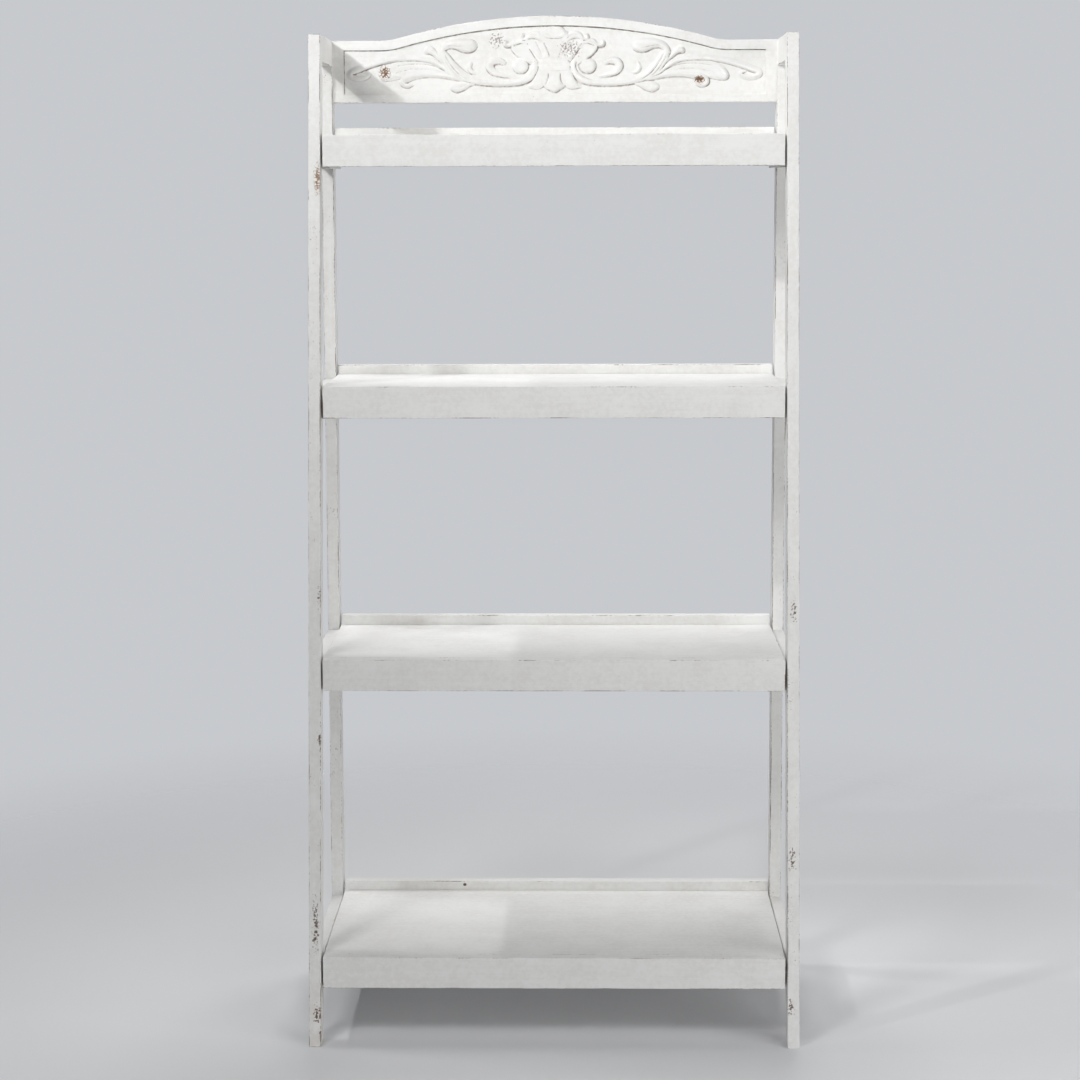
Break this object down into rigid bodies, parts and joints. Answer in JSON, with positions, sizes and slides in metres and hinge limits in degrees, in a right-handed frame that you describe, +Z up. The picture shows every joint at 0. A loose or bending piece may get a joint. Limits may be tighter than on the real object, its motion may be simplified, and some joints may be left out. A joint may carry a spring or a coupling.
{
  "type": "shelf stand",
  "caption": "Free-standing A-frame shelf stand in white distressed wood, with lipped trays that deepen downwards and a carved arched crown between the rear posts.",
  "frame": {"origin": "on the floor, in the middle of the overall width and depth", "axes": "+X to the right of someone facing the stand, +Y from the front to the wall, +Z up"},
  "size_m": [0.7, 0.368, 1.473],
  "materials": {
    "white_paint": "off-white matt paint over softwood, rubbed through at the edges",
    "zinc_steel": "zinc plated"
  },
  "bodies": {
    "root": {"bottom_apron": "white_paint", "bottom_board": "white_paint", "bottom_left_cleat": "white_paint", "bottom_lip": "white_paint", "bottom_right_cleat": "white_paint", "crown_panel": "white_paint", "left_bottom_rail": "white_paint", "left_front_stile": "white_paint", "left_head_rail": "white_paint", "left_lower_rail": "white_paint", "left_rear_post": "white_paint", "left_top_rail": "white_paint", "left_upper_rail": "white_paint", "lower_apron": "white_paint", "lower_board": "white_paint", "lower_left_cleat": "white_paint", "lower_lip": "white_paint", "lower_right_cleat": "white_paint", "right_bottom_rail": "white_paint", "right_front_stile": "white_paint", "right_head_rail": "white_paint", "right_lower_rail": "white_paint", "right_rear_post": "white_paint", "right_top_rail": "white_paint", "right_upper_rail": "white_paint", "top_apron": "white_paint", "top_board": "white_paint", "top_left_cleat": "white_paint", "top_lip": "white_paint", "top_right_cleat": "white_paint", "tray_screws": "zinc_steel", "upper_apron": "white_paint", "upper_board": "white_paint", "upper_left_cleat": "white_paint", "upper_lip": "white_paint", "upper_right_cleat": "white_paint"}
  },
  "joints": []
}
